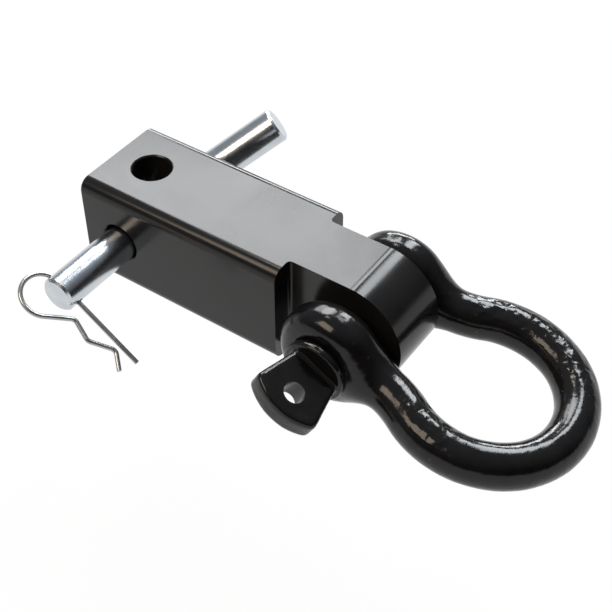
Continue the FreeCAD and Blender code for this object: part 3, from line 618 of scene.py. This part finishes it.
pitch = 3.0
thread_outer = 10.8
thread_depth = 1.35
tip_chamfer = 1.6
sides = 72
steps_per_pitch = 8
levels = int((pin_end - thread_from) / pitch * steps_per_pitch)
mesh = bmesh.new()
loops = []
for level in range(levels + 1):
    y = thread_from + (pin_end - thread_from) * level / levels
    loop = []
    for step in range(sides):
        angle = 2 * math.pi * step / sides
        phase = ((y / pitch + step / sides) % 1.0) * 2 - 1
        groove = min(1.0, max(0.0, 1.35 * abs(phase) - 0.12))
        reach = thread_outer - thread_depth * (1 - groove)
        reach = min(reach, thread_outer - tip_chamfer + (pin_end - y))
        loop.append(mesh.verts.new((reach * math.sin(angle), y, reach * math.cos(angle))))
    loops.append(loop)
for lower, upper in zip(loops, loops[1:]):
    for step in range(sides):
        following = (step + 1) % sides
        mesh.faces.new((lower[step], lower[following], upper[following], upper[step]))
mesh.faces.new(loops[0])
mesh.faces.new(reversed(loops[-1]))
thread = finish_mesh("pin_thread", mesh, sharp=40.0)
place_piece(thread, to_screw_pin)
for piece in (head, shaft, thread):
    dress(piece, gloss_black)
    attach(piece, "screw_pin")
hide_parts("shackle_pin")

# The floor: a plain pale sheet, low enough for the bow to hang straight down over it, which
# shows white to the camera and keeps the object's soft shadow
hang_room = 3.0
floor_level = -(drop + inside_length + 2 * rod + hang_room) * MM
mesh = bmesh.new()
reach = 30.0
corners = [(-reach, -reach), (reach, -reach), (reach, reach), (-reach, reach)]
mesh.faces.new([mesh.verts.new((*corner, floor_level)) for corner in corners])
floor = finish_mesh("floor", mesh)
floor_paper, tree, skin = new_material("floor_paper")
marks = use_group(tree, mottle, Blotch_Scale=3.0, Grain_Scale=300.0)
tree.links.new(tint(tree, marks.outputs["Blotch"], (0.80, 0.80, 0.80), (0.82, 0.82, 0.82)),
               skin.inputs["Base Color"])
skin.inputs["Roughness"].default_value = 0.9
glow = put(tree, "Emission", {"Color": (1, 1, 1, 1), "Strength": 1.0})


def looked_at(tree):
    """One for the rays that show the background, straight, mirrored or through glass."""
    seen = put(tree, "LightPath").outputs
    direct = joined(tree, "MAXIMUM", seen["Is Camera Ray"], seen["Is Glossy Ray"])
    return joined(tree, "MAXIMUM", direct, seen["Is Transmission Ray"])


whiteness = 0.96
share = joined(tree, "MULTIPLY", looked_at(tree), whiteness)
both = put(tree, "MixShader", {0: share, 1: skin.outputs["BSDF"], 2: glow.outputs[0]})
out = next(item for item in tree.nodes if item.type == "OUTPUT_MATERIAL")
tree.links.new(both.outputs[0], out.inputs["Surface"])
dress(floor, floor_paper)

# The light: a dim room with a pale wall all round it, which shows where the floor ends, and
# soft panels, most of them behind and above the object, with a warm one over its near side
world = bpy.data.worlds.new("studio")
bpy.context.scene.world = world
world.use_nodes = True
tree = world.node_tree
tree.nodes.clear()
heading = put(tree, "TexCoord").outputs["Generated"]
way = put(tree, "VectorMath", {0: heading, 1: (-0.45, 0.35, 0.82)}, operation="DOT_PRODUCT")
room = put(tree, "ValToRGB", {"Fac": ramp(tree, way.outputs["Value"], -0.1, 0.75)})
room.color_ramp.elements[0].color = (0.03, 0.03, 0.034, 1)
room.color_ramp.elements[1].color = (0.30, 0.325, 0.36, 1)
height = put(tree, "SeparateXYZ", {"Vector": heading})
wall = ramp(tree, height.outputs["Z"], 0.05, 0.17, 1.0, 0.0)
room_and_wall = put(tree, "Mix", {0: joined(tree, "MULTIPLY", looked_at(tree), wall)}, data_type="RGBA")
tree.links.new(room.outputs["Color"], room_and_wall.inputs[6])
room_and_wall.inputs[7].default_value = (1, 1, 1, 1)
sky = put(tree, "Background", {"Color": room_and_wall.outputs[2], "Strength": 1.0})
sky_out = tree.nodes.new("ShaderNodeOutputWorld")
tree.links.new(sky.outputs[0], sky_out.inputs["Surface"])

aim = Vector((0.07, 0, 0.01))


def panel(name, way, distance, width, height, glow, colour):
    """A soft rectangular light in a direction from the object, with its own brightness."""
    data = bpy.data.lights.new(name, "AREA")
    data.shape = "RECTANGLE"
    data.size, data.size_y = width, height
    data.energy = glow * math.pi * width * height
    data.color = colour
    made = bpy.data.objects.new(name, data)
    way = Vector(way).normalized()
    made.location = aim + way * distance
    made.rotation_euler = (-way).to_track_quat("-Z", "Y").to_euler()
    bpy.context.scene.collection.objects.link(made)


panel("corner_window", (-0.66, 0.59, 0.47), 1.35, 0.36, 0.24, 7.5, (0.96, 0.98, 1.0))
panel("upper_window", (-0.47, 0.56, 0.68), 1.35, 0.52, 0.38, 13.0, (0.97, 0.985, 1.0))
panel("low_window", (-0.42, 0.87, 0.25), 1.25, 0.70, 0.16, 19.0, (0.95, 0.98, 1.0))
panel("tall_window", (-0.03, 0.73, 0.68), 1.15, 0.27, 0.54, 16.5, (0.93, 0.97, 1.0))
panel("crown_lamp", (-0.38, 0.25, 0.89), 1.05, 0.12, 0.10, 20.0, (1.0, 0.90, 0.78))
panel("warm_wall", (-0.29, -0.55, 0.78), 1.1, 0.60, 0.50, 6.0, (1.0, 0.82, 0.64))

# The camera: it stands where the photograph was taken from, above the near side, with a
# long lens
camera_data = bpy.data.cameras.new("camera")
camera_data.sensor_width = 36.0
camera_data.lens = 73.6
camera = bpy.data.objects.new("camera", camera_data)
camera.location = (0.29796, -0.31566, 0.36271)
camera.rotation_euler = [math.radians(angle) for angle in (45.4936, -0.1013, 34.5732)]
bpy.context.scene.collection.objects.link(camera)
bpy.context.scene.camera = camera
bpy.context.scene.view_settings.view_transform = "Standard"
